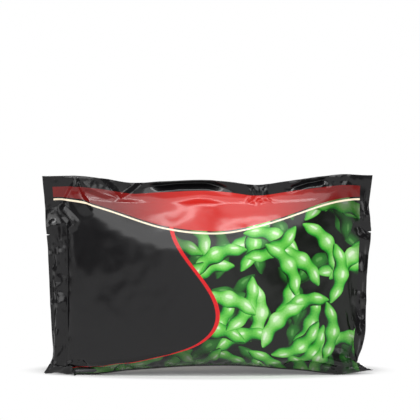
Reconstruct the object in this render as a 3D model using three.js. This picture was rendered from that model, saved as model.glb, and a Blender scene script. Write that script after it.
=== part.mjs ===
// A sealed film pouch of frozen shelled edamame, standing on its long bottom edge.
// Two webs of printed film are welded together along all four sides, with a tear notch in each
// side weld, and loose beans fill the space between them. Millimetres, +Z up, front towards -Y.
import * as THREE from "three";

// The film as it is cut, lying flat. u runs across from the middle, v runs up from the bottom edge.
const FILM_WIDTH = 323;
const FILM_HEIGHT = 209;
const FILM_THICKNESS = 0.6; // real film is about 0.1, too thin to stay a sound solid
const WEB_GAP = 0.3; // between the two webs where they are welded

// The welds, measured in from the cut edges.
const LEFT_WELD = 20;
const RIGHT_WELD = 18;
const TOP_WELD = 10;
const BOTTOM_WELD = 10;

// How the beans push the webs apart: the half depth in the belly, and how steeply the film rises
// from each weld.
const BELLY_HALF_DEPTH = 34;
const BOTTOM_RISE = 0.97;
const SIDE_RISE = 0.8;
const TOP_RISE = 0.42;
const FULLNESS = 2.6; // higher gives a boxier pouch

// The bottom weld is folded back under the belly. More of the film is folded at the two corners.
const FOLD_RADIUS = 1.6;
const FOLD_HEIGHT = 8; // along the film, from the bottom edge, under the belly
const LEFT_FOLD_HEIGHT = 19;
const RIGHT_FOLD_HEIGHT = 15;
const FOLD_ANGLE = 88; // degrees
const CORNER_START = 116; // where the folds of the corners begin, from the middle
const CORNER_END = 146.5;

// The belly draws the bottom up in the middle, so that the pouch stands on its two lower corners.
const KEEL_LIFT = 12.5;
const KEEL_HALF_SPAN = 128;
const KEEL_SINK = 4.2; // how far the floor flattens the bottom at those corners
const BELLY_LEAN = 3; // how far the belly stands back from the fold, over its welded strip
const LEAN_FROM = 0.08; // the shares of the film's height over which it goes back
const LEAN_TO = 0.3;

// The top edge sags in two places and rises towards the right.
const TOP_SAGS = [
  { at: -80, width: 34, depth: 4.5 },
  { at: 52, width: 30, depth: 5.5 },
];
const TOP_WAVE = 5; // out of plane
const TOP_WAVES = 2.2; // half waves over half the width
const TOP_WAVE_SHIFT = 0.6; // radians

// The side welds are drawn in, and the right one is tucked in just above its foot.
const RIGHT_TUCK = { height: 16, spread: 9, depth: 14, from: 13, to: 18 };

const NOTCH_HEIGHT = 153;
const NOTCH_DEPTH = 4;
const NOTCH_HALF_WIDTH = 1.6;

// The beans reach this far up the film, and stay clear of the film by this much.
const FILL_TOP = 168;
const FILL_CLEARANCE = 2;
const FILL_LEAST_HALF_DEPTH = 5;

const BODY_COLUMNS = 22;
const BODY_ROWS = 14;
const BODY_START = 25; // where the rows of the body begin, above those of the fold
const CROWDING = 0.55; // 0 spaces the lines evenly, 1 crowds them most towards both ends

const degrees = (angle) => (angle * Math.PI) / 180;
const clamp01 = (x) => Math.min(1, Math.max(0, x));
const smooth = (from, to, x) => {
  const t = clamp01((x - from) / (to - from));
  return t * t * (3 - 2 * t);
};
const bump = (x, at, width) => Math.exp(-(((x - at) / width) ** 2));

// Grid lines are closer together near the welds, where the film turns most.
function spread(from, to, count) {
  return Array.from({ length: count + 1 }, (_, k) => {
    const t = k / count;
    const eased = 0.5 - 0.5 * Math.cos(Math.PI * t);
    return from + (to - from) * (t + CROWDING * (eased - t));
  });
}

const edge = FILM_WIDTH / 2;
const openFrom = LEFT_WELD - edge;
const openTo = edge - RIGHT_WELD;
const U_LINES = [-edge, ...spread(openFrom, openTo, BODY_COLUMNS), edge];

const foldLines = [0, 4, 6.2, 7.4, 8.8]; // close together round the bend under the belly
const cornerFoldLines = [13.5, 16, 18.5, 21.5]; // and round the bends at the corners
const bodyLines = spread(BODY_START, FILM_HEIGHT - TOP_WELD, BODY_ROWS);
const notchLines = [-1, 0, 1].map((k) => NOTCH_HEIGHT + k * NOTCH_HALF_WIDTH);
const clearOfNotch = (v) => Math.abs(v - NOTCH_HEIGHT) > 3 * NOTCH_HALF_WIDTH;
const V_LINES = [
  ...foldLines,
  BOTTOM_WELD,
  ...cornerFoldLines,
  ...bodyLines.filter(clearOfNotch),
  ...notchLines,
  FILM_HEIGHT,
].sort((a, b) => a - b);

// Half of the pouch's depth over a point of the film: the least of what each weld allows, blended.
function halfDepth(u, v) {
  const allowed = [
    BOTTOM_RISE * (v - BOTTOM_WELD),
    TOP_RISE * (FILM_HEIGHT - TOP_WELD - v),
    SIDE_RISE * (openTo - u),
    SIDE_RISE * (u - openFrom),
    BELLY_HALF_DEPTH,
  ];
  if (Math.min(...allowed) <= 0) return 0;
  const sum = allowed.reduce((total, a) => total + a ** -FULLNESS, 0);
  return sum ** (-1 / FULLNESS);
}

// How far a column of the film is a corner, 0 under the belly and 1 at the corner.
const leftCorner = (u) => smooth(-CORNER_START, -CORNER_END, u);
const rightCorner = (u) => smooth(CORNER_START, CORNER_END, u);

function foldHeight(u) {
  const left = leftCorner(u);
  const right = rightCorner(u);
  return FOLD_HEIGHT * (1 - left - right) + LEFT_FOLD_HEIGHT * left + RIGHT_FOLD_HEIGHT * right;
}

// The angle by which the film has turned back at v, counted from upright.
function turnAt(u, v) {
  const angle = degrees(FOLD_ANGLE);
  const halfArc = (FOLD_RADIUS * angle) / 2;
  return angle * (1 - clamp01((v - foldHeight(u) + halfArc) / (2 * halfArc)));
}

// Film doesn't stretch, so what it spends on depth it loses in height and width.
const LEAST_RUN = 0.14;
const run = (length, spent) => Math.sqrt(Math.max(LEAST_RUN ** 2, length ** 2 - spent ** 2));

function middleSurface() {
  const depth = U_LINES.map((u) => V_LINES.map((v) => halfDepth(u, v)));
  const centre = U_LINES.findIndex((u) => u > -1e-6);
  const x = U_LINES.map((u) => V_LINES.map(() => u));
  V_LINES.forEach((_, j) => {
    for (let i = centre + 1; i < U_LINES.length; i++)
      x[i][j] = x[i - 1][j] + run(U_LINES[i] - U_LINES[i - 1], depth[i][j] - depth[i - 1][j]);
    for (let i = centre - 1; i >= 0; i--)
      x[i][j] = x[i + 1][j] - run(U_LINES[i + 1] - U_LINES[i], depth[i][j] - depth[i + 1][j]);
  });
  return U_LINES.map((u, i) => {
    const column = V_LINES.map(() => null);
    const keel = KEEL_LIFT * Math.max(0, 1 - (u / KEEL_HALF_SPAN) ** 2) - KEEL_SINK;
    const corner = leftCorner(u) + rightCorner(u);
    const foldLevel = keel * (1 - corner) + (FOLD_RADIUS + FILM_THICKNESS) * corner;
    const fold = V_LINES.findIndex((v) => v > foldHeight(u) - 1e-6);
    column[fold] = { y: 0, z: foldLevel };
    for (let j = fold + 1; j < V_LINES.length; j++) {
      const turn = turnAt(u, (V_LINES[j] + V_LINES[j - 1]) / 2);
      const step = run(V_LINES[j] - V_LINES[j - 1], depth[i][j] - depth[i][j - 1]);
      const below = column[j - 1];
      column[j] = { y: below.y - Math.sin(turn) * step, z: below.z + Math.cos(turn) * step };
    }
    for (let j = fold - 1; j >= 0; j--) {
      const turn = turnAt(u, (V_LINES[j] + V_LINES[j + 1]) / 2);
      const step = V_LINES[j + 1] - V_LINES[j];
      const above = column[j + 1];
      column[j] = { y: above.y + Math.sin(turn) * step, z: above.z - Math.cos(turn) * step };
    }
    return V_LINES.map((v, j) => {
      const up = clamp01(v / FILM_HEIGHT);
      const sag = TOP_SAGS.reduce((total, s) => total + s.depth * bump(x[i][j], s.at, s.width), 0);
      const phase = (u / edge) * TOP_WAVES * Math.PI + TOP_WAVE_SHIFT;
      const wave = TOP_WAVE * Math.sin(phase) * up ** 4;
      const lean = BELLY_LEAN * smooth(LEAN_FROM, LEAN_TO, up);
      const tuck = RIGHT_TUCK.depth * bump(column[j].z, RIGHT_TUCK.height, RIGHT_TUCK.spread);
      return {
        x: x[i][j] - tuck * rightCorner(u) * smooth(RIGHT_TUCK.from, RIGHT_TUCK.to, v),
        y: column[j].y + wave + lean,
        z: column[j].z - sag * up ** 2,
        turn: turnAt(u, v),
        depth: depth[i][j],
      };
    });
  });
}

const MIDDLE = middleSurface();

// Where the floor stops each layer: the fold's under layer and the front panel lie on it, with the
// fold's upper layer and the back panel stacked on top.
const LAYER = FILM_THICKNESS + WEB_GAP;
function lowestLevel(side, i, j) {
  const inFold = V_LINES[j] < foldHeight(U_LINES[i]);
  const layersBelow = side > 0 ? 0 : inFold ? 1 : 2;
  return FILM_THICKNESS / 2 + layersBelow * LAYER;
}

// The middle of one web's thickness. side is +1 for the front web and -1 for the back one.
function webPoint(side, i, j, inset = 0) {
  const m = MIDDLE[i][j];
  const offset = side * Math.max(0, m.depth + LAYER / 2 - inset);
  const point = new THREE.Vector3(m.x, m.y - Math.cos(m.turn) * offset, m.z - Math.sin(m.turn) * offset);
  point.z = Math.max(point.z, lowestLevel(side, i, j) + inset);
  const onSideEdge = i === 0 || i === U_LINES.length - 1;
  if (onSideEdge && Math.abs(V_LINES[j] - NOTCH_HEIGHT) < 1e-6)
    point.x -= Math.sign(U_LINES[i]) * NOTCH_DEPTH;
  return point;
}

// The direction out of the front of a web at a grid point.
function webNormal(side, i, j) {
  const before = (k) => Math.max(0, k - 1);
  const acrossTo = webPoint(side, Math.min(U_LINES.length - 1, i + 1), j);
  const across = acrossTo.sub(webPoint(side, before(i), j));
  const upTo = webPoint(side, i, Math.min(V_LINES.length - 1, j + 1));
  const up = upTo.sub(webPoint(side, i, before(j)));
  return across.cross(up).normalize();
}

// Bends a thin box, with a grid line for each line of the film, into one web.
function filmWeb(name, side, material) {
  const columns = U_LINES.length - 1;
  const rows = V_LINES.length - 1;
  const geometry = new THREE.BoxGeometry(1, 1, 1, columns, rows, 1);
  const corner = geometry.getAttribute("position");
  for (let k = 0; k < corner.count; k++) {
    const i = Math.round((corner.getX(k) + 0.5) * columns);
    const j = Math.round((corner.getY(k) + 0.5) * rows);
    const skin = webNormal(side, i, j).multiplyScalar(corner.getZ(k) * FILM_THICKNESS);
    const point = webPoint(side, i, j).add(skin);
    corner.setXYZ(k, point.x, Math.abs(point.y) < 1e-9 ? 0 : point.y, Math.max(0, point.z));
  }
  const mesh = new THREE.Mesh(geometry, material);
  mesh.name = name;
  return mesh;
}

// The beans' bulk, bent from a box on the same grid lines as the film around it.
function beanFill(material) {
  const filled = (i, j) => MIDDLE[i][j].depth > FILL_LEAST_HALF_DEPTH + FILL_CLEARANCE;
  const middleRow = Math.floor(V_LINES.length / 2);
  const middleColumn = Math.floor(U_LINES.length / 2);
  const iUsed = U_LINES.map((_, i) => i).filter((i) => filled(i, middleRow));
  const jUsed = V_LINES.map((_, j) => j).filter((j) => filled(middleColumn, j) && V_LINES[j] <= FILL_TOP);
  const columns = iUsed.length - 1;
  const rows = jUsed.length - 1;
  const geometry = new THREE.BoxGeometry(1, 1, 1, columns, rows, 1);
  const corner = geometry.getAttribute("position");
  for (let k = 0; k < corner.count; k++) {
    const i = iUsed[Math.round((corner.getX(k) + 0.5) * columns)];
    const j = jUsed[Math.round((corner.getY(k) + 0.5) * rows)];
    const side = Math.sign(corner.getZ(k));
    const inset = Math.min(MIDDLE[i][j].depth * 0.5, FILL_CLEARANCE + LAYER);
    const point = webPoint(side, i, j, inset);
    corner.setXYZ(k, point.x, point.y, point.z);
  }
  const mesh = new THREE.Mesh(geometry, material);
  mesh.name = "bean_fill";
  return mesh;
}

const printedFilm = new THREE.MeshStandardMaterial({ color: 0x2b2b2e, roughness: 0.25, metalness: 0 });
const plainFilm = new THREE.MeshStandardMaterial({ color: 0x242427, roughness: 0.25, metalness: 0 });
const beans = new THREE.MeshStandardMaterial({ color: 0x6fbf3a, roughness: 0.45, metalness: 0 });

const pouch = new THREE.Group();
pouch.add(filmWeb("front_web", +1, printedFilm));
pouch.add(filmWeb("back_web", -1, plainFilm));
pouch.add(beanFill(beans));

// The origin is under the middle of the pouch, on what it stands on.
const box = new THREE.Box3().setFromObject(pouch);
const middle = box.getCenter(new THREE.Vector3());
pouch.position.set(-middle.x, -middle.y, -box.min.z);

export default pouch;
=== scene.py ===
import math
import random

import bmesh
import bpy
import numpy as np
from mathutils import Euler, Matrix, Vector, noise
from mathutils.bvhtree import BVHTree


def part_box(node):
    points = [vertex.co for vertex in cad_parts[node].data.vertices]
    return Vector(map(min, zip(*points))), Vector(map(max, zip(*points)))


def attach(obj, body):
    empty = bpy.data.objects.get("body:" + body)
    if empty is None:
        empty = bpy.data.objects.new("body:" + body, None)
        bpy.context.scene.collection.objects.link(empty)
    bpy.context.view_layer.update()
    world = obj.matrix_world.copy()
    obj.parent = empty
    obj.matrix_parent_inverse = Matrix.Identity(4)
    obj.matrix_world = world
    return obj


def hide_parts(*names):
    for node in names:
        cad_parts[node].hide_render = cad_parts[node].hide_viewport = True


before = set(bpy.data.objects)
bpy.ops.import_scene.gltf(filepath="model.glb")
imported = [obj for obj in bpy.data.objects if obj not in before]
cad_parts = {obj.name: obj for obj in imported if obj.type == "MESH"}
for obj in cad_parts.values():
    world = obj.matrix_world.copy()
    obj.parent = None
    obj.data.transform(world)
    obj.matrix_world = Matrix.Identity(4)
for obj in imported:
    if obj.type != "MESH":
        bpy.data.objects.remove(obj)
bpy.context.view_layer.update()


# ---- Camera ----
# A long lens that looks very slightly down. It aims above the pouch's middle, so that the pouch
# stands in the lower part of the picture.

MM = 0.001
PICTURE_WIDTH = 407.3 * MM  # what the picture spans at the pouch
CAMERA_DISTANCE = 2.6
CAMERA_ELEVATION = math.radians(3.6)
AIM = Vector((1.9 * MM, 0, 161 * MM))

camera_data = bpy.data.cameras.new("camera")
camera_data.sensor_width = 36
camera_data.lens = camera_data.sensor_width * CAMERA_DISTANCE / PICTURE_WIDTH
camera = bpy.data.objects.new("camera", camera_data)
towards_camera = Vector((0, -math.cos(CAMERA_ELEVATION), math.sin(CAMERA_ELEVATION)))
camera.location = AIM + CAMERA_DISTANCE * towards_camera
camera.rotation_euler = towards_camera.to_track_quat("Z", "Y").to_euler()
bpy.context.scene.collection.objects.link(camera)
bpy.context.scene.camera = camera


# ---- The form of the filled pouch ----
# Two webs of laminated film, cut to one size and welded along all four sides. The beans push them
# apart. Film bends but doesn't stretch, so it buckles along the welds. The cloth simulation blows
# the welded film up from flat, and finds that form.

FILM_WIDTH = 323 * MM
FILM_HEIGHT = 209 * MM
LEFT_WELD = 20 * MM
RIGHT_WELD = 18 * MM
TOP_WELD = 10 * MM
BOTTOM_WELD = 10 * MM
HALF_WIDTH = FILM_WIDTH / 2
OPEN_FROM, OPEN_TO = LEFT_WELD - HALF_WIDTH, HALF_WIDTH - RIGHT_WELD  # between the side welds

# Outlines of the standing pouch, seen from the front, in mm: across its top, and across its keel,
# where the bottom weld folds away.
TOP_EDGE = [
    (-161, 194), (-137, 194.6), (-121, 194), (-98, 191), (-77, 187.5), (-45.6, 188.8), (1, 190.1),
    (21, 188.5), (47.5, 185.4), (73.7, 188.8), (110, 193.8), (138.7, 196.3), (160, 194.7),
]
KEEL = [
    (-161, 0.8), (-131, 0.5), (-110, 0.8), (-99, 1.8), (-84, 3.8), (-54, 6.2), (-25, 8.2), (2, 9),
    (34, 8.7), (72, 5.8), (94, 4.1), (111, 2), (132, 0.6), (146, 0.8), (155, 2.4), (161, 4.2),
]
# Its left and right ends, from the bottom up.
LEFT_EDGE = [
    (-160.5, 0.6), (-158, 4.5), (-154.6, 9.5), (-151.6, 16), (-150.9, 24), (-152.3, 42), (-154.2, 82),
    (-155.7, 123), (-157.7, 150), (-159, 177.5), (-160.7, 194),
]
RIGHT_EDGE = [
    (161, 4.2), (158, 5.2), (149, 7.4), (145.6, 11), (146.6, 16), (150.7, 26), (153.4, 42), (154.2, 69),
    (154.2, 97), (157.6, 128), (158.5, 141), (156.1, 165), (159.6, 194.7),
]
# How far the top edge sways forward (-) or back (+). The film below it sways much less.
TOP_SWAY = [
    (-161, 0), (-131, -3), (-100, -1), (-25, -2), (30, -1), (66, -1), (110, -3), (140, -1), (161, 1),
]

# The bottom weld is folded back to lie under the belly. At the left corner it turns up in front.
FOLD = 7 * MM
LEFT_FOLD = 10.5 * MM
RIGHT_FOLD = 10 * MM
FOLD_ANGLE = math.radians(-88)  # from straight down, and back under the belly
LEFT_FOLD_ANGLE = math.radians(160)
CORNER_RUMPLE = math.radians(17)  # how much that angle wavers along the corner
CORNER_WAVE = 5.5 * MM
CORNER_SPREAD = 0.6  # how far that corner also goes outwards, as a share of its fold
SPREAD_FROM = 0.75  # the share of the half width past which it does
FOLD_ROOM = 1.2 * MM  # between the folded weld and the film that it lies against
LEFT_CORNER = (-130 * MM, -139 * MM)
RIGHT_CORNER = (118 * MM, 140 * MM)
STANDING_SHARE = 0.97  # of the film's flat width, which its curves take up when it is filled
EDGE_FROM = 0.8  # the share of the half width past which the film follows its left or right end
LEAST_HEIGHT = 0.5 * MM  # of the front web over what the pouch stands on

CELL = 3 * MM  # of the simulated film
FRAMES_TO_FOLD = 30
FRAMES_TO_SETTLE = 30
PRESSURE = 45
FILL_LEVEL = 165 * MM
TOP_PRESSURE = 0.05  # the share of the pressure that is left at that level
# What the simulation holds in place: strips along the side and top edges, and the folded weld.
SIDE_HEM = 6 * MM
TOP_HEM = 4 * MM
FIRM_HEM = 1 * MM  # the outer part of both, held in full
HELD_OVER_FOLD = 2 * MM
LEAST_WEIGHT = 0.01


def smooth(start, end, x):
    """Rises gently from 0 at start to 1 at end."""
    t = np.clip((x - start) / (end - start), 0, 1)
    return t * t * (3 - 2 * t)


def along(points, x):
    """A smooth curve through points given in mm, read at x."""
    at, to = np.array(points).T * MM
    k = np.clip(np.searchsorted(at, x) - 1, 0, len(at) - 2)
    slope = np.gradient(to, at)
    span = at[k + 1] - at[k]
    t = np.clip((x - at[k]) / span, 0, 1)
    start, end = to[k], to[k + 1]
    leave, arrive = slope[k] * span, slope[k + 1] * span
    bend = 2 * start - 2 * end + leave + arrive
    return start + t * (leave + t * (3 * (end - start) - 2 * leave - arrive + t * bend))


def edge_at(points, share):
    """The place on a side edge at a share of its length, from the bottom up."""
    places = np.array(points) * MM
    lengths = np.concatenate([[0], np.cumsum(np.linalg.norm(np.diff(places, axis=0), axis=1))])
    at = share * lengths[-1]
    return np.interp(at, lengths, places[:, 0]), np.interp(at, lengths, places[:, 1])


def folded(u, v):
    """Where a point of the film goes when its edges are stood up and its bottom weld is folded."""
    left, right = smooth(*LEFT_CORNER, u), smooth(*RIGHT_CORNER, u)
    fold = FOLD + (LEFT_FOLD - FOLD) * left + (RIGHT_FOLD - FOLD) * right
    rumpled = CORNER_RUMPLE * np.sin(u / CORNER_WAVE)
    angle = FOLD_ANGLE + (LEFT_FOLD_ANGLE + rumpled - FOLD_ANGLE) * left
    rise = np.clip((v - fold) / (FILM_HEIGHT - fold), 0, 1)
    x = u * STANDING_SHARE
    keel, top = along(KEEL, x), along(TOP_EDGE, x)
    z = keel + (top - keel) * rise
    for points, side in ((LEFT_EDGE, -1), (RIGHT_EDGE, 1)):
        edge_x, edge_z = edge_at(points, rise)
        nearness = smooth(EDGE_FROM, 1, u / HALF_WIDTH * side)
        x = x + (edge_x - side * HALF_WIDTH * STANDING_SHARE) * nearness
        z = z + (edge_z - z) * nearness
    y = along(TOP_SWAY, x) * rise**4
    past = np.maximum(0, fold - v)
    x = x + CORNER_SPREAD * past * smooth(-SPREAD_FROM, -1, u / HALF_WIDTH)
    y = y - np.sin(angle) * past - FOLD_ROOM * (past > 0) * np.sign(angle)
    z = np.maximum(z - np.cos(angle) * past, LEAST_HEIGHT)
    return np.stack([x, y, z], 1), fold


def vertex_values(mesh, name):
    """One stored number for each vertex of a mesh."""
    values = np.zeros(len(mesh.vertices), np.float32)
    mesh.attributes[name].data.foreach_get("value", values)
    return values.astype(float)


def cut_film(columns, rows):
    """A flat sheet of film as a grid, standing in the XZ plane, with its own u and v kept."""
    film = bmesh.new()
    bmesh.ops.create_grid(film, x_segments=columns, y_segments=rows, size=0.5)
    across = film.verts.layers.float.new("across")
    up = film.verts.layers.float.new("up")
    for vert in film.verts:
        vert[across] = vert.co.x * FILM_WIDTH
        vert[up] = (vert.co.y + 0.5) * FILM_HEIGHT
        vert.co = (vert[across], 0, vert[up])
    return film


def welded_film(columns, rows):
    """The film for the simulation: one sheet, with a second one welded on along the welds."""
    film = cut_film(columns, rows)
    across, up = film.verts.layers.float["across"], film.verts.layers.float["up"]
    web = film.verts.layers.float.new("web")
    slack = CELL / 2

    def open_at(vert):
        inside = OPEN_FROM - slack < vert[across] < OPEN_TO + slack
        return inside and BOTTOM_WELD - slack < vert[up] < FILM_HEIGHT - TOP_WELD + slack

    apart = [face for face in film.faces if all(open_at(vert) for vert in face.verts)]
    inner = set(apart)
    rim = {v for f in apart for e in f.edges if not inner.issuperset(e.link_faces) for v in e.verts}
    for vert in film.verts:
        vert[web] = 1
    second = bmesh.ops.duplicate(film, geom=apart)
    copies = second["vert_map"]
    for vert in [g for g in second["geom"] if isinstance(g, bmesh.types.BMVert)]:
        vert[web] = -1
    for vert in rim:
        vert[web] = 0
    bmesh.ops.reverse_faces(film, faces=[g for g in second["geom"] if isinstance(g, bmesh.types.BMFace)])
    bmesh.ops.weld_verts(film, targetmap={copies[vert]: vert for vert in rim})
    return film


def blown_up(columns, rows):
    """Folds and fills the film by simulation. Returns the places of both webs' grid points."""
    film = welded_film(columns, rows)
    mesh = bpy.data.meshes.new("welded_film")
    film.to_mesh(mesh)
    film.free()
    pouch = bpy.data.objects.new("welded_film", mesh)
    bpy.context.scene.collection.objects.link(pouch)
    u, v, web = (vertex_values(mesh, name) for name in ("across", "up", "web"))
    posed, fold = folded(u, v)

    pouch.shape_key_add(name="flat", from_mix=False)
    stand = pouch.shape_key_add(name="stood up", from_mix=False)
    stand.data.foreach_set("co", posed.astype(np.float32).ravel())
    stand.value = 0
    stand.keyframe_insert("value", frame=1)
    stand.value = 1
    stand.keyframe_insert("value", frame=FRAMES_TO_FOLD)

    hem = smooth(HALF_WIDTH - SIDE_HEM, HALF_WIDTH - FIRM_HEM, np.abs(u))
    hem = np.maximum(hem, smooth(FILM_HEIGHT - TOP_HEM, FILM_HEIGHT - FIRM_HEM, v))
    hold = np.maximum(hem, v < fold + HELD_OVER_FOLD)
    depth = np.clip((FILL_LEVEL - posed[:, 2]) / FILL_LEVEL, 0, 1)
    inside = (u > OPEN_FROM) & (u < OPEN_TO) & (v > BOTTOM_WELD) & (v < FILM_HEIGHT - TOP_WELD)
    push = (TOP_PRESSURE + (1 - TOP_PRESSURE) * depth) * inside
    for name, weights in (("held", hold), ("filled", push)):
        group = pouch.vertex_groups.new(name=name)
        for index in np.flatnonzero(weights > LEAST_WEIGHT):
            group.add([int(index)], float(weights[index]), "REPLACE")

    cloth = pouch.modifiers.new("film", "CLOTH")
    film_settings = {
        "quality": 6,
        "mass": 0.0002,
        "tension_stiffness": 80,
        "compression_stiffness": 80,
        "shear_stiffness": 40,
        "bending_stiffness": 20,
        "tension_damping": 0.5,
        "compression_damping": 0.5,
        "shear_damping": 0.5,
        "air_damping": 1,
        "use_pressure": True,
        "uniform_pressure_force": PRESSURE,
        "vertex_group_pressure": "filled",
        "vertex_group_mass": "held",
        "pin_stiffness": 20,
    }
    for name, value in film_settings.items():
        setattr(cloth.settings, name, value)
    cloth.settings.effector_weights.gravity = 0
    cloth.collision_settings.use_collision = False
    last = FRAMES_TO_FOLD + FRAMES_TO_SETTLE
    cloth.point_cache.frame_start = 1
    cloth.point_cache.frame_end = last
    for step in range(1, last + 1):
        bpy.context.scene.frame_set(step)
    settled = pouch.evaluated_get(bpy.context.evaluated_depsgraph_get()).data
    places = np.zeros(len(mesh.vertices) * 3, np.float32)
    settled.vertices.foreach_get("co", places)
    places = places.reshape(-1, 3).astype(float)
    bpy.context.scene.frame_set(1)
    bpy.data.objects.remove(pouch)

    column = np.rint((u / FILM_WIDTH + 0.5) * columns).astype(int)
    row = np.rint(v / FILM_HEIGHT * rows).astype(int)
    front = np.zeros((columns + 1, rows + 1, 3))
    front[column[web >= 0], row[web >= 0]] = places[web >= 0]
    back = front.copy()
    back[column[web < 0], row[web < 0]] = places[web < 0]
    return front, back


COLUMNS, ROWS = round(FILM_WIDTH / CELL), round(FILM_HEIGHT / CELL)
front_form, back_form = blown_up(COLUMNS, ROWS)

# The beans fill out the folds that air alone would leave in the belly. From each side weld, from
# the bottom edge and from the top weld, it starts at the first distance and is full at the second.
FILLING_ROUNDS = 24
FILLED_FROM_SIDES = (4 * MM, 30 * MM)
FILLED_FROM_BOTTOM = (16 * MM, 45 * MM)
FILLED_FROM_TOP = (2 * MM, 14 * MM)
across_the_web = np.linspace(-HALF_WIDTH, HALF_WIDTH, COLUMNS + 1)
up_the_web = np.linspace(0, FILM_HEIGHT, ROWS + 1)
away_from_sides = smooth(*FILLED_FROM_SIDES, OPEN_TO - np.abs(across_the_web))
away_from_bottom = smooth(*FILLED_FROM_BOTTOM, up_the_web)
away_from_top = smooth(*FILLED_FROM_TOP, FILM_HEIGHT - TOP_WELD - up_the_web)
filled_out = away_from_sides[:, None] * (away_from_bottom * away_from_top)[None, :]
for form in (front_form, back_form):
    for _ in range(FILLING_ROUNDS):
        around = (form[:-2, 1:-1] + form[2:, 1:-1] + form[1:-1, :-2] + form[1:-1, 2:]) / 4
        form[1:-1, 1:-1] += (around - form[1:-1, 1:-1]) * filled_out[1:-1, 1:-1, None]

# The top weld is stiff: it stays straight from its cut edge down to the belly.
TOP_REACH = 26 * MM
EVENING_ROUNDS = 8  # which even out the belly's line where the straight part starts
middle_form = (front_form + back_form) / 2
hem = middle_form[:, -1]
below = middle_form[:, round((1 - TOP_REACH / FILM_HEIGHT) * ROWS)].copy()
for _ in range(EVENING_ROUNDS):
    below[1:-1] = (below[:-2] + 2 * below[1:-1] + below[2:]) / 4
upward = (hem - below) / np.linalg.norm(hem - below, axis=1)[:, None]
straight = hem[:, None] - upward[:, None] * (FILM_HEIGHT - up_the_web)[None, :, None]
stiffness = smooth(FILM_HEIGHT - TOP_REACH, FILM_HEIGHT - TOP_WELD, up_the_web)[None, :, None]
for form in (front_form, back_form):
    form += (straight - form) * stiffness

# The webs can't pass through each other, or through what the pouch stands on.
LEAST_GAP = 0.3 * MM
UPRIGHT = (14 * MM, 22 * MM)  # up the film, where it has left the folded weld and stands
overlap = np.maximum(0, LEAST_GAP - (back_form[..., 1] - front_form[..., 1]))
upright = smooth(*UPRIGHT, up_the_web)[None, :]
front_form[..., 1] -= overlap * upright / 2
back_form[..., 1] += overlap * upright / 2
front_form[..., 2] = np.maximum(front_form[..., 2], LEAST_HEIGHT)
back_form[..., 2] = np.maximum(back_form[..., 2], LEAST_HEIGHT / 2)


def on_form(form, u, v):
    """Points of a web, read from its simulated grid along smooth curves."""
    columns, rows = form.shape[0] - 1, form.shape[1] - 1
    place = [(u / FILM_WIDTH + 0.5) * columns, v / FILM_HEIGHT * rows]
    cell, share = [], []
    for value, last in zip(place, (columns, rows)):
        low = np.clip(np.floor(value).astype(int), 0, last - 1)
        cell.append(low)
        t = value - low
        share.append([
            (-t + 2 * t**2 - t**3) / 2,
            (2 - 5 * t**2 + 3 * t**3) / 2,
            (t + 4 * t**2 - 3 * t**3) / 2,
            (t**3 - t**2) / 2,
        ])
    total = np.zeros((len(u), 3))
    for i, across in enumerate(share[0]):
        for j, up in enumerate(share[1]):
            column = np.clip(cell[0] + i - 1, 0, columns)
            row = np.clip(cell[1] + j - 1, 0, rows)
            total += (across * up)[:, None] * form[column, row]
    return total


# ---- Front web ----
# The printed face of the pouch: clear film reverse printed, over a polyethylene layer that welds.
# It is about 0.1 mm thick. A tear notch is cut in each side weld.

FINE_COLUMNS, FINE_ROWS = 246, 164
# The shares of the columns and of the rows against where they lie: finer at the left and at the top.
COLUMN_SPREAD = [(0, -HALF_WIDTH), (0.36, -82 * MM), (0.88, 124 * MM), (1, HALF_WIDTH)]
ROW_SPREAD = [(0, 0), (0.1, 20 * MM), (0.56, 150 * MM), (1, FILM_HEIGHT)]
FILM_THICKNESS = 0.2 * MM  # doubled, so that the cut edge shows
FILM_GAP = 0.1 * MM  # at least, between the inner faces of the webs
FACE_CLEARANCE = 0.4 * MM  # of the webs' inner faces over what the pouch stands on
NOTCH_DEPTH = 3.2 * MM
NOTCH_HALF_WIDTH = 0.8 * MM
LEFT_NOTCH = 151 * MM
RIGHT_NOTCH = 154.5 * MM


# Creases that the weld and the packing set into this web: the film's places in mm, how high the
# fold line stands (or how deep it lies), and how far it lifts the film on its left and on its right.
CREASES = [
    ([(-136, 213), (-130, 199), (-124, 187), (-112, 170)], 3.8, 4.5, 11),
    ([(-132, 208), (-138, 198), (-144, 187), (-145, 173)], -2.8, 4, 8),
    ([(-131, 208), (-120, 199), (-103, 193), (-88, 189)], 2.4, 9, 5),
    ([(-147, 182), (-140, 172), (-134, 166), (-127, 159)], 3.0, 5, 4.5),
    ([(-144, 172), (-135, 161)], -2.8, 3.5, 4.5),
    ([(-129, 161), (-139, 155)], 2.2, 5, 4),
    ([(-70, 204), (-30, 206), (0, 205.5), (29, 200)], -6.5, 4, 6.5),
    ([(78, 201), (100, 204), (122, 205.5)], -5.2, 4, 5),
    ([(45, 208), (42, 194), (38, 186)], 1.8, 3, 3),
    ([(50, 208), (50, 194), (50, 183)], 1.8, 2.5, 2.5),
    ([(55, 208), (58, 194), (62, 185)], 1.8, 3, 3),
    ([(143, 208), (133, 195)], 1.4, 7, 4),
    ([(-155, 140), (-156, 115)], -1.2, 4, 4),
    ([(-162, 27), (-152, 22)], 1.4, 3, 3),
    ([(-135, 27), (-124, 26), (-118, 18)], -2.2, 4, 6),
    ([(147, 166), (162, 170)], 1.4, 5, 4),
    ([(147, 161), (160, 154)], -1.4, 4, 4),
]
# Darts, where the top weld is pressed in: the point, half the mouth, the width and depth of the sides.
DARTS = [
    (-86, 191, 22, 5.4, 4.3),
    (50, 191, 11, 3.4, 2.4),
]
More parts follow.
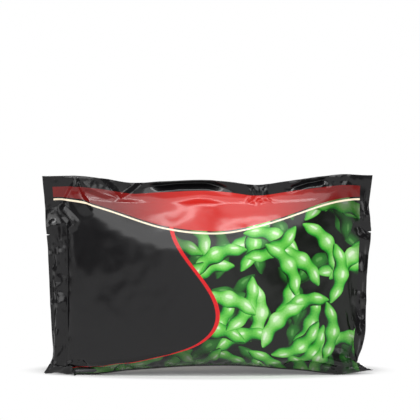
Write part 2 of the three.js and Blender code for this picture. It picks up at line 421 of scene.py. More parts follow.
# How far the side welds' outer edges turn back at each height, which bends the welds into facets.
LEFT_TURN = [
    (0, 1), (12, 2), (30, 5), (56, 4), (61, 6), (81, 4), (86, 1), (92, 5), (110, 6), (135, 3), (141, 5),
    (160, 0), (163, -2), (181, 7), (187, 2), (209, 0),
]
RIGHT_TURN = [
    (10, 3), (27, 8.5), (48, 11), (56, 4), (69, 5), (75, 9), (86, 11), (93, 4), (101, 8.5), (119, -1),
    (137, 10.5), (151, 1), (156, 4), (175, -1), (187, 5.5), (209, 2),
]
FACET_SLANT = 5  # how much higher, in mm, the facets' borders are at the outer edge


def weld_turn(u, v):
    """How far back the turned side welds stand, from nothing at their inner lines."""
    back = np.zeros(len(u))
    for turn, side, weld in ((LEFT_TURN, -1, LEFT_WELD), (RIGHT_TURN, 1, RIGHT_WELD)):
        share = np.clip((side * u - HALF_WIDTH + weld) / weld, 0, 1)
        height = v / MM + FACET_SLANT * share
        back += np.interp(height, *np.transpose(turn)) * share
    return back * MM


def dart(u, v, across, point, half_mouth, side_width, depth):
    """How far back a flat-bottomed V is pressed into the top weld. Its point is down."""
    rise = FILM_HEIGHT / MM - point
    slope = half_mouth / rise
    inside = ((v / MM - point) * slope - np.abs(u / MM - across)) / math.hypot(1, slope)
    return depth * np.clip(inside / side_width, 0, 1) * MM


CREASE_FADE = 0.3  # the share of a crease's length along which each of its ends fades
CREASE_LEAD = 0.02  # the share of its length past its ends, where it is flat
CREASE_SHARPNESS = 1.15


def crease_lift(u, v, points, rise, left_reach, right_reach):
    """How far one crease lifts the film at each place: most on its line, nothing past its reach."""
    places = np.array(points) * MM
    lengths = np.linalg.norm(np.diff(places, axis=0), axis=1)
    total = lengths.sum()
    nearest = np.full(len(u), 1.0)
    lift = np.zeros(len(u))
    before = 0
    for start, end, length in zip(places[:-1], places[1:], lengths):
        run = (end - start) / length
        from_start = np.stack([u, v], 1) - start
        t = np.clip(from_start @ run, 0, length)
        off = from_start - t[:, None] * run
        distance = np.linalg.norm(off, axis=1)
        side = run[0] * from_start[:, 1] - run[1] * from_start[:, 0]
        reach = np.where(side > 0, left_reach, right_reach) * MM
        done = (before + t) / total
        first = smooth(-CREASE_LEAD, CREASE_FADE, done)
        ends = np.minimum(first, smooth(1 + CREASE_LEAD, 1 - CREASE_FADE, done))
        height = np.clip(1 - distance / reach, 0, 1) ** CREASE_SHARPNESS * ends
        lift = np.where(distance < nearest, height, lift)
        nearest = np.minimum(nearest, distance)
        before += length
    return lift * rise * MM


# Crumpled patches: the middle and the reach, across and up, in mm, and how strongly.
CRUMPLED = [
    (-131, 203, 26, 8, 0.5),
    (-70, 204, 60, 8, 0.35),
    (50, 197, 13, 13, 1.2),
    (112, 203, 40, 10, 1.5),
    (-153, 60, 9, 45, 0.6),
    (-153, 130, 9, 25, 0.5),
    (-150, 8, 20, 10, 1.2),
    (153, 160, 10, 18, 0.8),
    (153, 110, 9, 30, 0.6),
    (153, 50, 9, 30, 0.4),
]
# Crumpled film is flat between straight ridges: the way each set of ridges faces, in degrees, the
# distance between them and their height, in mm.
RIDGES = [(20, 19, 0.9), (75, 13, 0.65), (118, 9, 0.45), (160, 6, 0.3)]
RIDGE_SWAY = 3  # how far the ridges wander from straight, in mm
SWAY_ACROSS, SWAY_UP = 13, 11  # over what distance they do
PATCH_FADE = (1.2, 0.5)  # the shares of a patch's reach where it starts and where it is full


def crinkles(u, v):
    """Sharp crumpling of the film, in patches."""
    strength = np.zeros(len(u))
    for middle_u, middle_v, reach_u, reach_v, most in CRUMPLED:
        off = np.hypot((u / MM - middle_u) / reach_u, (v / MM - middle_v) / reach_v)
        strength = np.maximum(strength, most * smooth(*PATCH_FADE, off))
    wandering_u = u / MM + RIDGE_SWAY * np.sin(v / MM / SWAY_UP)
    wandering_v = v / MM + RIDGE_SWAY * np.sin(u / MM / SWAY_ACROSS)
    lift = np.zeros(len(u))
    for facing, length, height in RIDGES:
        turn = math.radians(facing)
        place = (wandering_u * math.cos(turn) + wandering_v * math.sin(turn)) / length
        lift += height * (2 * np.abs(place % 1 - 0.5) - 0.5)
    return lift * strength * MM


# Soft lumps, where beans press on the film from inside: how wide and how high, in mm.
LUMPS = [(26, 0.6), (11, 0.25)]
# Where they start and where they are full: from each side weld, up the film, and down it.
LUMPS_FROM_SIDES = 25 * MM
LUMPS_FROM_BOTTOM = (12 * MM, 30 * MM)
LUMPS_FROM_TOP = (FILM_HEIGHT - 20 * MM, FILM_HEIGHT - 50 * MM)


def bean_lumps(u, v):
    """How far the beans inside lift the film over the belly."""
    over_belly = smooth(OPEN_FROM, OPEN_FROM + LUMPS_FROM_SIDES, u)
    over_belly *= smooth(OPEN_TO, OPEN_TO - LUMPS_FROM_SIDES, u)
    over_belly *= smooth(*LUMPS_FROM_BOTTOM, v) * smooth(*LUMPS_FROM_TOP, v)
    lift = np.zeros(len(u))
    for index in np.flatnonzero(over_belly > LEAST_WEIGHT):
        place = Vector((u[index], v[index], 0)) / MM
        lift[index] = sum(height * noise.noise(place / width) for width, height in LUMPS)
    return lift * over_belly * MM


def notched_film():
    """Fine film, still flat, with its two tear notches cut out."""
    film = cut_film(FINE_COLUMNS, FINE_ROWS)
    across, up = film.verts.layers.float["across"], film.verts.layers.float["up"]
    for vert in film.verts:
        vert.co.x = np.interp(vert.co.x / FILM_WIDTH + 0.5, *np.transpose(COLUMN_SPREAD))
        vert.co.z = np.interp(vert.co.z / FILM_HEIGHT, *np.transpose(ROW_SPREAD))
    for side, height in ((-1, LEFT_NOTCH), (1, RIGHT_NOTCH)):
        root = Vector((side * (HALF_WIDTH - NOTCH_DEPTH), 0, height))
        for turn in (-1, 1):
            lip = Vector((side * HALF_WIDTH, 0, height + turn * NOTCH_HALF_WIDTH))
            normal = (lip - root).cross(Vector((0, 1, 0))) * side * turn
            near = [f for f in film.faces if (f.calc_center_median() - root).length < 3 * NOTCH_DEPTH]
            around = {g for f in near for g in (*f.verts, *f.edges, f)}
            bmesh.ops.bisect_plane(film, geom=list(around), plane_co=root, plane_no=normal, dist=1e-7)
        gone = []
        for face in film.faces:
            middle = face.calc_center_median() - root
            reach = middle.x * side
            if 0 < reach and abs(middle.z) < reach * NOTCH_HALF_WIDTH / NOTCH_DEPTH:
                gone.append(face)
        bmesh.ops.delete(film, geom=gone, context="FACES")
    for vert in film.verts:
        vert[across], vert[up] = vert.co.x, vert.co.z
    return film


LOST_BEHIND = 0.35  # how much less a crease lifts the back web where the webs are apart
APART_FROM = 12 * MM  # how far inside the welds the webs are fully apart
FACING_STEP = 5 * MM  # over which the way that the film faces is taken
NEAR_ZERO = 1e-12


def web_places(u, v):
    """Where the flat film's places come to lie on the front web and on the back web."""
    ahead, behind = on_form(front_form, u, v), on_form(back_form, u, v)
    over = on_form(front_form, u + FACING_STEP, v) - on_form(front_form, u - FACING_STEP, v)
    upward = on_form(front_form, u, v + FACING_STEP) - on_form(front_form, u, v - FACING_STEP)
    facing = np.cross(over, upward)
    facing /= np.linalg.norm(facing, axis=1)[:, None] + NEAR_ZERO
    lift = crinkles(u, v)
    for crease in CREASES:
        lift += crease_lift(u, v, *crease)
    opening = smooth(0, APART_FROM, u - OPEN_FROM) * smooth(0, APART_FROM, OPEN_TO - u)
    over_weld = smooth(0, APART_FROM, v - BOTTOM_WELD)
    opening *= over_weld * smooth(0, APART_FROM, FILM_HEIGHT - TOP_WELD - v)
    ahead += facing * (lift + bean_lumps(u, v))[:, None]
    behind += facing * (lift * (1 - LOST_BEHIND * opening))[:, None]
    pressed_back = weld_turn(u, v) + sum(dart(u, v, *place) for place in DARTS)
    ahead[:, 1] += pressed_back
    behind[:, 1] += pressed_back
    shut = np.maximum(0, FILM_GAP - (behind[:, 1] - ahead[:, 1])) * (opening > 0)
    shut *= smooth(*UPRIGHT, v)
    ahead[:, 1] -= shut / 2
    behind[:, 1] += shut / 2
    for places in (ahead, behind):
        places[:, 2] = np.maximum(places[:, 2], FACE_CLEARANCE)
    return ahead, behind


def film_web(name, outwards, materials):
    """One web as thin closed film. Its map's lower half is the outside, its upper half the inside."""
    film = notched_film()
    if outwards > 0:
        bmesh.ops.reverse_faces(film, faces=film.faces)
    mesh = bpy.data.meshes.new(name)
    film.to_mesh(mesh)
    film.free()
    u, v = vertex_values(mesh, "across"), vertex_values(mesh, "up")
    places = web_places(u, v)[outwards > 0]
    mesh.vertices.foreach_set("co", places.astype(np.float32).ravel())
    vertex_of = np.zeros(len(mesh.loops), np.int32)
    mesh.loops.foreach_get("vertex_index", vertex_of)
    map_places = np.stack([u / FILM_WIDTH + 0.5, v / FILM_HEIGHT / 2], 1)[vertex_of]
    mesh.uv_layers.new(name="OFBake").uv.foreach_set("vector", map_places.astype(np.float32).ravel())
    for material in materials:
        mesh.materials.append(material)
    web = bpy.data.objects.new(name, mesh)
    bpy.context.scene.collection.objects.link(web)

    shell = web.modifiers.new("thickness", "SOLIDIFY")
    shell.thickness = FILM_THICKNESS
    shell.offset = 1
    shell.use_even_offset = False
    shell.material_offset = 1
    web.data = bpy.data.meshes.new_from_object(web.evaluated_get(bpy.context.evaluated_depsgraph_get()))
    web.modifiers.clear()
    bpy.data.meshes.remove(mesh)
    web.data.name = name
    for face in web.data.polygons:
        face.use_smooth = True
        if face.material_index == 1:
            for loop in face.loop_indices:
                web.data.uv_layers["OFBake"].uv[loop].vector.y += 0.5
    return web


def colour(code):
    """An sRGB hex colour as the linear values that Blender takes."""
    parts = [int(code[k : k + 2], 16) / 255 for k in (1, 3, 5)]
    return [p / 12.92 if p <= 0.04045 else ((p + 0.055) / 1.055) ** 2.4 for p in parts] + [1]


def node(tree, kind, inputs=(), **settings):
    """Adds a node, makes its settings, and sets or links its inputs. Returns its first output."""
    made = tree.nodes.new("ShaderNode" + kind)
    for name, value in settings.items():
        setattr(made, name, value)
    for key, value in inputs.items() if isinstance(inputs, dict) else enumerate(inputs):
        if isinstance(value, bpy.types.NodeSocket):
            tree.links.new(value, made.inputs[key])
        elif value is not None:
            made.inputs[key].default_value = value
    return made.outputs[0]


# Polyester film over polyethylene, calendered smooth: a clear gloss with soft edges to what it
# mirrors, so that each flat between two creases catches the light or stays black as a whole.
def film_face(name):
    """A film material with nothing but its gloss. Returns its node tree and its shader."""
    material = bpy.data.materials.new(name)
    material.use_nodes = True
    shader = material.node_tree.nodes["Principled BSDF"]
    shader.inputs["Roughness"].default_value = 0.2
    shader.inputs["IOR"].default_value = 1.42
    return material, material.node_tree, shader


def fine_texture(tree, shader):
    """Faint waviness of the laminate, about 3 mm from crest to crest, which breaks up reflections."""
    place = node(tree, "TexCoord").node.outputs["Object"]
    waves = node(tree, "TexNoise", {0: place, "Scale": 1 / (3 * MM), "Detail": 2, "Roughness": 0.6})
    bump = node(tree, "Bump", {"Strength": 0.5, "Distance": 0.05 * MM, "Height": waves})
    tree.links.new(bump, shader.inputs["Normal"])


def film_places(tree):
    """Where a point of the film is on the flat film, in mm across from its middle and up its face."""
    on_map = node(tree, "UVMap", uv_map="OFBake")
    sizes = {1: (-FILM_WIDTH / MM / 2, 0, 0), 3: (FILM_WIDTH / MM, 2 * FILM_HEIGHT / MM, 1)}
    flat = node(tree, "Mapping", {0: on_map, **sizes})
    apart = node(tree, "SeparateXYZ", [flat]).node
    return flat, apart.outputs["X"], apart.outputs["Y"]


# The print: gravure inks on the inside of the clear film, bright under its gloss.
POD_LENGTH = 58  # in mm, like the others here
POD_WIDTH = 19
POD_SCATTER = 0.25  # 0 sets the pods in rows
POD_TURN = 0.9  # how far each turns from its layer's direction at most, in radians
# The pod's outline, in shares of its half width: how far its ends bend aside and its middle the
# other way, how wide it is and how much each bean bulges it. It tapers with a power of the length.
POD_BEND, POD_MIDDLE = 0.9, -0.35
POD_BREADTH, BEAN_BULGE = 0.8, 0.1
POD_TAPER = 0.42
# The pod's shading: brightest along its back, a little brighter on one side and on each bean.
ROUNDNESS, BACK_LIGHT = 0.75, 0.52
SIDE_LIGHT, EVEN_LIGHT, BEAN_LIGHT = 0.2, 0.02, 0.12
GLINT_AT, GLINT_EDGES, GLINT_LIGHT = 0.3, (0.26, 0.04), 0.3
DOWN_LIGHT, DOWN_SCALE = 0.3, 0.6  # the pod's fine down, about 1.7 mm from tuft to tuft
POD_VARIETY = 0.2
POD_GREENS = ["#08280c", "#249826", "#69c24b", "#a3d98b", "#d4ecc8"]
SHADED_GREENS = ["#061806", "#0f3a0e", "#1d601c", "#307b2b", "#569549"]


def printed_pods(tree, flat, ground, shift, turn, spread, greens):
    """Prints a layer of green pods, each with three beans, over what is printed already."""
    cell = POD_LENGTH * spread
    scattered = node(tree, "Mapping", {0: flat, 1: shift, 2: (0, 0, turn), 3: (1 / cell, 1 / cell, 1)})
    cells = node(tree, "TexVoronoi", {0: scattered, "Scale": 1, "Randomness": POD_SCATTER},
                 voronoi_dimensions="2D").node
    chance = node(tree, "SeparateColor", [cells.outputs["Color"]]).node
    offset = node(tree, "VectorMath", [scattered, cells.outputs["Position"]], operation="SUBTRACT")
    angle = node(tree, "MapRange", {0: chance.outputs[0], 3: -POD_TURN, 4: POD_TURN})
    turned = node(tree, "VectorRotate", {0: offset, "Angle": angle}, rotation_type="Z_AXIS")
    sized = node(tree, "VectorMath", [turned, (2 * spread, 2 * cell / POD_WIDTH, 0)], operation="MULTIPLY")
    pod = node(tree, "SeparateXYZ", [sized]).node
    lengthwise, crosswise = pod.outputs["X"], pod.outputs["Y"]
    squared = node(tree, "Math", [lengthwise, lengthwise], operation="MULTIPLY")
    bent = node(tree, "Math", [squared, POD_BEND, POD_MIDDLE], operation="MULTIPLY_ADD")
    centred = node(tree, "Math", [crosswise, bent], operation="ADD")
    turns = node(tree, "Math", [lengthwise, 3 * math.pi], operation="MULTIPLY")
    beans = node(tree, "Math", [turns], operation="COSINE")
    to_tips = node(tree, "Math", [1, squared], operation="SUBTRACT", use_clamp=True)
    tapered = node(tree, "Math", [to_tips, POD_TAPER], operation="POWER")
    bulged = node(tree, "Math", [beans, BEAN_BULGE, POD_BREADTH], operation="MULTIPLY_ADD")
    half = node(tree, "Math", [tapered, bulged], operation="MULTIPLY")
    share = node(tree, "Math", [centred, half], operation="DIVIDE")
    round_off = node(tree, "Math", [share, share], operation="MULTIPLY")
    height = node(tree, "Math", [1, round_off], operation="SUBTRACT", use_clamp=True)
    inside = node(tree, "Math", [height, tapered], operation="MULTIPLY")
    inside = node(tree, "Math", [inside, 0.02], operation="GREATER_THAN")
    dome = node(tree, "Math", [height, ROUNDNESS], operation="POWER")
    lit = node(tree, "Math", [share, SIDE_LIGHT, EVEN_LIGHT], operation="MULTIPLY_ADD")
    swell = node(tree, "Math", [beans, BEAN_LIGHT, lit], operation="MULTIPLY_ADD")
    tone = node(tree, "Math", [dome, BACK_LIGHT, swell], operation="MULTIPLY_ADD")
    beside = node(tree, "Math", [share, -GLINT_AT], operation="ADD")
    off_glint = node(tree, "Math", [beside], operation="ABSOLUTE")
    streak = node(tree, "MapRange", [off_glint, *GLINT_EDGES, 0, 1], interpolation_type="SMOOTHSTEP")
    on_bean = node(tree, "MapRange", [beans, 0.1, 0.9, 0, 1], interpolation_type="SMOOTHSTEP")
    glint = node(tree, "Math", [streak, on_bean], operation="MULTIPLY")
    tone = node(tree, "Math", [glint, GLINT_LIGHT, tone], operation="MULTIPLY_ADD")
    down = node(tree, "TexNoise", {0: flat, "Scale": DOWN_SCALE, "Detail": 3, "Roughness": 0.7})
    dimmed = node(tree, "Math", [tone, -DOWN_LIGHT / 2], operation="ADD")
    tone = node(tree, "Math", [down, DOWN_LIGHT, dimmed], operation="MULTIPLY_ADD")
    varied = node(tree, "Math", [chance.outputs[1], POD_VARIETY, tone], operation="MULTIPLY_ADD")
    ramp = node(tree, "ValToRGB", [varied]).node
    for place, code in zip((0.05, 0.3, 0.55, 0.78), greens):
        stop = ramp.color_ramp.elements.new(place)
        stop.color = colour(code)
    ramp.color_ramp.elements[0].color = colour(greens[0])
    ramp.color_ramp.elements[-1].color = colour(greens[-1])
    return node(tree, "Mix", {0: inside, 6: ground, 7: ramp.outputs[0]}, data_type="RGBA").node.outputs[2]


printed, tree, shader = film_face("reverse_printed_film")
fine_texture(tree, shader)
flat, across, up = film_places(tree)
# Nine layers of pods on a dark ground, shaded ones below: each layer's shift in pod lengths, its
# turn in radians, and how far apart its pods lie.
field = colour("#0b0f0a")
for shift, turn, spread, greens in (
    ((3.1, 1.7, 0), 0.4, 1.1, SHADED_GREENS),
    ((5.6, 2.9, 0), -1.1, 1.05, SHADED_GREENS),
    ((2.2, 6.4, 0), 1.3, 1.1, SHADED_GREENS),
    ((8.6, 0.9, 0), 2.7, 1.2, POD_GREENS),
    ((3.35, 7.7, 0), 1.7, 1.15, POD_GREENS),
    ((0.35, 0.6, 0), -0.5, 1.15, POD_GREENS),
    ((7.1, 5.2, 0), 0.1, 1.2, POD_GREENS),
    ((4.4, 3.3, 0), 2.1, 1.2, POD_GREENS),
    ((1.8, 4.25, 0), 0.9, 1.25, POD_GREENS),
):
    field = printed_pods(tree, flat, field, shift, turn, spread, greens)

# The pods lie in an oval pool of light, and fade into the dark round it.
POOL_ACROSS, POOL_UP = 70.35, 100.32  # its middle
POOL_HALF_WIDTH, POOL_HALF_HEIGHT = 105, 88
POOL_EDGES = (0.72, 1.12)  # the shares of its half width where the shade starts and is full
POOL_SHADE = 0.78
pool_places = {
    0: flat,
    1: (-POOL_ACROSS / POOL_HALF_WIDTH, -POOL_UP / POOL_HALF_HEIGHT, 0),
    3: (1 / POOL_HALF_WIDTH, 1 / POOL_HALF_HEIGHT, 1),
}
pool = node(tree, "Mapping", pool_places)
out_of_pool = node(tree, "VectorMath", [pool], operation="LENGTH").node.outputs["Value"]
shading = [out_of_pool, *POOL_EDGES, 0, POOL_SHADE]
shade = node(tree, "MapRange", shading, interpolation_type="SMOOTHSTEP")
field = node(tree, "Mix", {0: shade, 6: field, 7: colour("#0a0d0a")}, data_type="RGBA").node.outputs[2]

# The dark panel's edge: an S that runs out to the left along the bottom.
PANEL_EDGE = -12
EDGE_SWING, EDGE_RATE, EDGE_START = 24, 31, -0.62
RUN_OUT, RUN_OUT_RATE = 400, 14
swinging = node(tree, "Math", [up, 1 / EDGE_RATE, EDGE_START], operation="MULTIPLY_ADD")
wave = node(tree, "Math", [swinging], operation="SINE")
edge = node(tree, "Math", [wave, EDGE_SWING, PANEL_EDGE], operation="MULTIPLY_ADD")
rising = node(tree, "Math", [up, -1 / RUN_OUT_RATE], operation="MULTIPLY")
low = node(tree, "Math", [math.e, rising], operation="POWER")
edge = node(tree, "Math", [low, -RUN_OUT, edge], operation="MULTIPLY_ADD")
right_of = node(tree, "Math", [across, edge], operation="SUBTRACT")
on_pods = node(tree, "Math", [right_of, 0], operation="GREATER_THAN")
picture = node(tree, "Mix", {0: on_pods, 6: colour("#0a090b"), 7: field}, data_type="RGBA").node.outputs[2]

# The red field along the top, which hangs lowest in the middle and darkens to its ends, a red
# ribbon along the panel's edge, and a cream line under the red.
RED_EDGE, RED_SWAG, SWAG_RATE = 172, 16, 50
BRIGHTEST_AT = 15
DARKENING = (20, 120, 0, 0.8)  # from one distance to another, and from one share to another
RIBBON_HALF_WIDTH = 2
LINE_AT, LINE_HALF_WIDTH = -2.4, 0.9
swag = node(tree, "Math", [across, 1 / SWAG_RATE], operation="MULTIPLY")
crest = node(tree, "Math", [swag], operation="COSINE")
red_edge = node(tree, "Math", [crest, -RED_SWAG, RED_EDGE], operation="MULTIPLY_ADD")
above = node(tree, "Math", [up, red_edge], operation="SUBTRACT")
in_red = node(tree, "Math", [above, 0], operation="GREATER_THAN")
off_middle = node(tree, "Math", [across, -BRIGHTEST_AT], operation="ADD")
from_middle = node(tree, "Math", [off_middle], operation="ABSOLUTE")
ends = node(tree, "MapRange", [from_middle, *DARKENING], interpolation_type="SMOOTHSTEP")
reds = {0: ends, 6: colour("#c2211a"), 7: colour("#3c0c0e")}
red = node(tree, "Mix", reds, data_type="RGBA").node.outputs[2]
picture = node(tree, "Mix", {0: in_red, 6: picture, 7: red}, data_type="RGBA").node.outputs[2]
ribbon = node(tree, "Math", [right_of, 0, RIBBON_HALF_WIDTH], operation="COMPARE")
below = node(tree, "Math", [above, 0], operation="LESS_THAN")
ribbon = node(tree, "Math", [ribbon, below], operation="MULTIPLY")
picture = node(tree, "Mix", {0: ribbon, 6: picture, 7: colour("#d0141b")}, data_type="RGBA").node.outputs[2]
line = node(tree, "Math", [above, LINE_AT, LINE_HALF_WIDTH], operation="COMPARE")
picture = node(tree, "Mix", {0: line, 6: picture, 7: colour("#f3e3c8")}, data_type="RGBA").node.outputs[2]

# The black border. The print inside it has its middle and half its size here, across and up.
PRINT_ACROSS, PRINT_UP = (-1.2, 151.5), (103.5, 95)
wide = node(tree, "Math", [across, *PRINT_ACROSS], operation="COMPARE")
tall = node(tree, "Math", [up, *PRINT_UP], operation="COMPARE")
window = node(tree, "Math", [wide, tall], operation="MULTIPLY")
picture = node(tree, "Mix", {0: window, 6: colour("#0a090b"), 7: picture}, data_type="RGBA").node.outputs[2]
tree.links.new(picture, shader.inputs["Base Color"])

# The polyethylene that welds: milky over the black ink, so that it shows as a dull dark grey.
film_inside, tree, shader = film_face("polyethylene_inside")
shader.inputs["Base Color"].default_value = colour("#3a3a3c")
front = film_web("front_film", -1, [printed, film_inside])
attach(front, "root")
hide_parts("front_web")


# ---- Back web ----
# A second sheet of the same film, cut to the front one's size and welded to it all round. It is
# printed black, with a bare cream panel where such a pouch has its small print.

PANEL_ACROSS, PANEL_UP = (-38, 62), (92, 44)  # the panel's middle and half its size, in mm

# The same clear gloss over one even black, so that little but its highlights shows.
plain_back, tree, shader = film_face("black_printed_film")
fine_texture(tree, shader)
flat, across, up = film_places(tree)
wide = node(tree, "Math", [across, *PANEL_ACROSS], operation="COMPARE")
tall = node(tree, "Math", [up, *PANEL_UP], operation="COMPARE")
panel = node(tree, "Math", [wide, tall], operation="MULTIPLY")
inks = {0: panel, 6: colour("#0a090b"), 7: colour("#e9dfc9")}
back_print = node(tree, "Mix", inks, data_type="RGBA").node.outputs[2]
tree.links.new(back_print, shader.inputs["Base Color"])
back = film_web("back_film", 1, [plain_back, film_inside])
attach(back, "root")
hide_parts("back_web")


# ---- Beans ----
# About 1,450 loose soybeans fill a real pouch, each frozen on its own, so that they don't stick
# together. These are fewer, because they lie in rows that keep clear of the film, each tilted a
# little its own way.

BEAN_LENGTH = 14.4 * MM
BEAN_HEIGHT = 10.4 * MM
BEAN_THICKNESS = 8.6 * MM
LOOSENESS = 1.04
BEAN_TILT = 0.22  # at most, in radians
ROWS_EACH_WAY = 5
FILL_TOP = 166 * MM
WELL_OUTSIDE = 0.2  # a distance in front of the pouch, and behind it
SHAKE = random.Random(5)


def film_tree(web):
    """The film as something that a straight line can be tested against."""
    shape = bmesh.new()
    shape.from_mesh(web.data)
    tested = BVHTree.FromBMesh(shape)
    shape.free()
    return tested


front_tree, back_tree = film_tree(front), film_tree(back)


def has_room(x, y, z):
    """Whether a bean in the middle of this place stays inside the film, at its ends as well."""
    for along_x, along_z, depth in PROBES:
        start = Vector((x + along_x * BEAN_LENGTH, -WELL_OUTSIDE, z + along_z * BEAN_HEIGHT))
        ahead = front_tree.ray_cast(start, Vector((0, 1, 0)))[0]
        start.y = WELL_OUTSIDE
        behind = back_tree.ray_cast(start, Vector((0, -1, 0)))[0]
        if not ahead or not behind:
            return False
        if min(y - ahead.y, behind.y - y) < depth * BEAN_THICKNESS:
            return False
    return True


# Each probe is a share of the bean's length and height off its middle, and the film's least distance.
PROBES = [(0, 0, 0.68), (-0.5, 0, 0.35), (0.5, 0, 0.35), (0, -0.5, 0.35), (0, 0.5, 0.35)]
fill_low, fill_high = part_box("bean_fill")
across_steps = int((fill_high[0] - fill_low[0]) / (BEAN_LENGTH * LOOSENESS)) + 2
level_rise = BEAN_HEIGHT * LOOSENESS * math.sqrt(2 / 3)
row_step = BEAN_THICKNESS * LOOSENESS * math.sqrt(3) / 2
all_beans = bmesh.new()
for level in range(int(FILL_TOP / level_rise)):
    layer = bmesh.new()
    z = BEAN_HEIGHT + level * level_rise
    for row in range(-ROWS_EACH_WAY, ROWS_EACH_WAY + 1):
        y = (row + level % 2 / 3) * row_step
        for step in range(across_steps):
            x = fill_low[0] + (step + (row + level) % 2 / 2) * BEAN_LENGTH * LOOSENESS
            turns = [SHAKE.uniform(-BEAN_TILT, BEAN_TILT) for _ in range(3)]
            tilt = Euler(turns).to_matrix().to_4x4()
            if has_room(x, y, z):
                sized = Matrix.Diagonal((BEAN_LENGTH / 2, BEAN_THICKNESS / 2, BEAN_HEIGHT / 2, 1))
                place = Matrix.Translation((x, y, z)) @ tilt @ sized
                bmesh.ops.create_uvsphere(layer, u_segments=8, v_segments=5, radius=1, matrix=place)
    level_mesh = bpy.data.meshes.new("one level")
    layer.to_mesh(level_mesh)
    layer.free()
    all_beans.from_mesh(level_mesh)
    bpy.data.meshes.remove(level_mesh)
beans_mesh = bpy.data.meshes.new("beans")
all_beans.to_mesh(beans_mesh)
all_beans.free()
for face in beans_mesh.polygons:
    face.use_smooth = True
# Blanched soybean skin under a bloom of frost: matt, and blotchy every 11 mm or so.
bean_skin = bpy.data.materials.new("frozen_soybean_skin")
bean_skin.use_nodes = True
tree = bean_skin.node_tree
shader = tree.nodes["Principled BSDF"]
place = node(tree, "TexCoord").node.outputs["Object"]
blotches = node(tree, "TexNoise", {0: place, "Scale": 90, "Detail": 2})
greens = {0: blotches, 6: colour("#6fae46"), 7: colour("#9ccb6a")}
tree.links.new(node(tree, "Mix", greens, data_type="RGBA").node.outputs[2], shader.inputs["Base Color"])
shader.inputs["Roughness"].default_value = 0.55
beans_mesh.materials.append(bean_skin)
beans = bpy.data.objects.new("beans", beans_mesh)
bpy.context.scene.collection.objects.link(beans)
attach(beans, "root")
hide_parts("bean_fill")


# ---- Stage ----
# A white paper sweep. In an oval round the pouch it takes light and shadow. Further off it is plain
# white to the eye, and in the film's gloss it darkens far out to the sides.

OVAL_BEHIND = 0.038  # how far behind the pouch's middle the oval has its own
OVAL_HALF_WIDTH = 0.1435
OVAL_HALF_DEPTH = 0.062
OVAL_EDGE = 1.3226  # the share of those where the white is full
SIDE_DARKENING = (0.5, 2.2, 1, 0.2)  # from one distance to another, and from one strength to another
SWEEP_DEPTHS = (-5, 3)  # its front wall stands behind the camera
SWEEP_RADIUS = 0.8
SWEEP_HEIGHT = 2.4
SWEEP_HALF_WIDTH = 12
FRONT_HALF_WIDTH = 3

floor_mesh = bpy.data.meshes.new("paper_sweep")
sweep = bmesh.new()
middle = [sweep.verts.new((side * SWEEP_HALF_WIDTH, 0, 0)) for side in (-1, 1)]
middle_line = sweep.edges.new(middle)
for depth in SWEEP_DEPTHS:
    towards = math.copysign(1, depth)
    flat_part = bmesh.ops.extrude_edge_only(sweep, edges=[middle_line])["geom"]
    line = [g for g in flat_part if not isinstance(g, bmesh.types.BMFace)]
    ends = [g for g in line if isinstance(g, bmesh.types.BMVert)]
    bmesh.ops.translate(sweep, verts=ends, vec=(0, depth - towards * SWEEP_RADIUS, 0))
    centre = (0, depth - towards * SWEEP_RADIUS, SWEEP_RADIUS)
    axis = (towards, 0, 0)
    turned = bmesh.ops.spin(sweep, geom=line, cent=centre, axis=axis, angle=math.pi / 2, steps=16)
    rim = [g for g in turned["geom_last"] if isinstance(g, bmesh.types.BMEdge)]
    wall = bmesh.ops.extrude_edge_only(sweep, edges=rim)["geom"]
    top = [g for g in wall if isinstance(g, bmesh.types.BMVert)]
    bmesh.ops.translate(sweep, verts=top, vec=(0, 0, SWEEP_HEIGHT - SWEEP_RADIUS))
for vert in sweep.verts:
    if vert.co.y < -SWEEP_RADIUS:
        vert.co.x = math.copysign(FRONT_HALF_WIDTH, vert.co.x)
bmesh.ops.recalc_face_normals(sweep, faces=sweep.faces)
sweep.to_mesh(floor_mesh)
sweep.free()
for face in floor_mesh.polygons:
    face.use_smooth = True
floor = bpy.data.objects.new("paper_sweep", floor_mesh)
bpy.context.scene.collection.objects.link(floor)
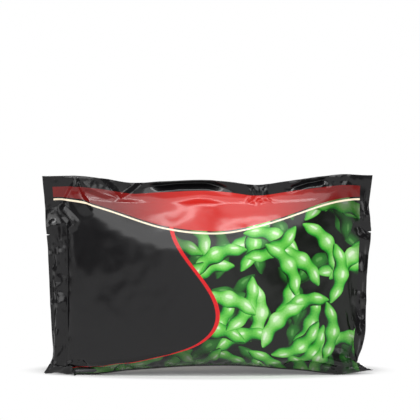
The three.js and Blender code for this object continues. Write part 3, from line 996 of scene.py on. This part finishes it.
# Matt card with no gloss of its own, which keeps the pouch's shadow soft and clear.
paper = bpy.data.materials.new("white_paper")
paper.use_nodes = True
tree = paper.node_tree
tree.nodes.remove(tree.nodes["Principled BSDF"])
place = node(tree, "TexCoord").node.outputs["Object"]
matt = node(tree, "BsdfDiffuse", [colour("#f2f2f2")])
path = node(tree, "LightPath").node.outputs
seen = node(tree, "Math", [path["Is Camera Ray"], path["Is Glossy Ray"]], operation="MAXIMUM")
seen = node(tree, "Math", [seen, path["Is Transmission Ray"]], operation="MAXIMUM")
oval_places = {
    0: place,
    1: (0, -OVAL_BEHIND / OVAL_HALF_DEPTH, 0),
    3: (1 / OVAL_HALF_WIDTH, 1 / OVAL_HALF_DEPTH, 1),
}
oval = node(tree, "Mapping", oval_places)
distance = node(tree, "VectorMath", [oval], operation="LENGTH").node.outputs["Value"]
away = node(tree, "MapRange", [distance, 1, OVAL_EDGE, 0, 1], interpolation_type="SMOOTHSTEP")
share = node(tree, "Math", [seen, away], operation="MULTIPLY")
aside = node(tree, "Math", [node(tree, "SeparateXYZ", [place])], operation="ABSOLUTE")
falloff = node(tree, "MapRange", [aside, *SIDE_DARKENING], interpolation_type="SMOOTHSTEP")
falloff = node(tree, "Math", [path["Is Camera Ray"], falloff], operation="MAXIMUM")
mixed = node(tree, "MixShader", [share, matt, node(tree, "Emission", [(1, 1, 1, 1), falloff])])
tree.links.new(mixed, tree.nodes["Material Output"].inputs["Surface"])
floor_mesh.materials.append(paper)


# ---- Light ----
# A narrow strip overhead and a broad softbox above the camera, with weak fill from the sides. The
# dark between them is what makes the film's steeper flats black. A low softbox lights the back and
# grazes the paper, so that the pouch keeps its shadow.

world = bpy.data.worlds.new("studio")
bpy.context.scene.world = world
world.use_nodes = True
world.node_tree.nodes["Background"].inputs["Color"].default_value = (1, 1, 1, 1)
world.node_tree.nodes["Background"].inputs["Strength"].default_value = 0.15


def softbox(name, place, size, power, aim=(0, 0, 0.1)):
    """An area lamp of a given width and height, turned to the pouch and hidden from the camera."""
    lamp = bpy.data.lights.new(name, "AREA")
    lamp.shape = "RECTANGLE"
    lamp.size, lamp.size_y = size
    lamp.energy = power
    holder = bpy.data.objects.new(name, lamp)
    holder.location = place
    holder.rotation_euler = (Vector(place) - Vector(aim)).to_track_quat("Z", "Y").to_euler()
    bpy.context.scene.collection.objects.link(holder)
    holder.visible_camera = False


softbox("overhead", (0.1, -0.8, 1.35), (1.6, 0.14), 12)
softbox("upper front", (-0.4, -1.8, 1.35), (2.2, 1.2), 26)
softbox("left", (-1.6, -0.8, 0.55), (0.9, 0.9), 5)
softbox("right", (1.4, -0.8, 0.5), (0.2, 0.8), 2)
softbox("behind", (0.3, 1.8, 0.4), (2, 0.5), 12)

bpy.context.scene.view_settings.view_transform = "Standard"
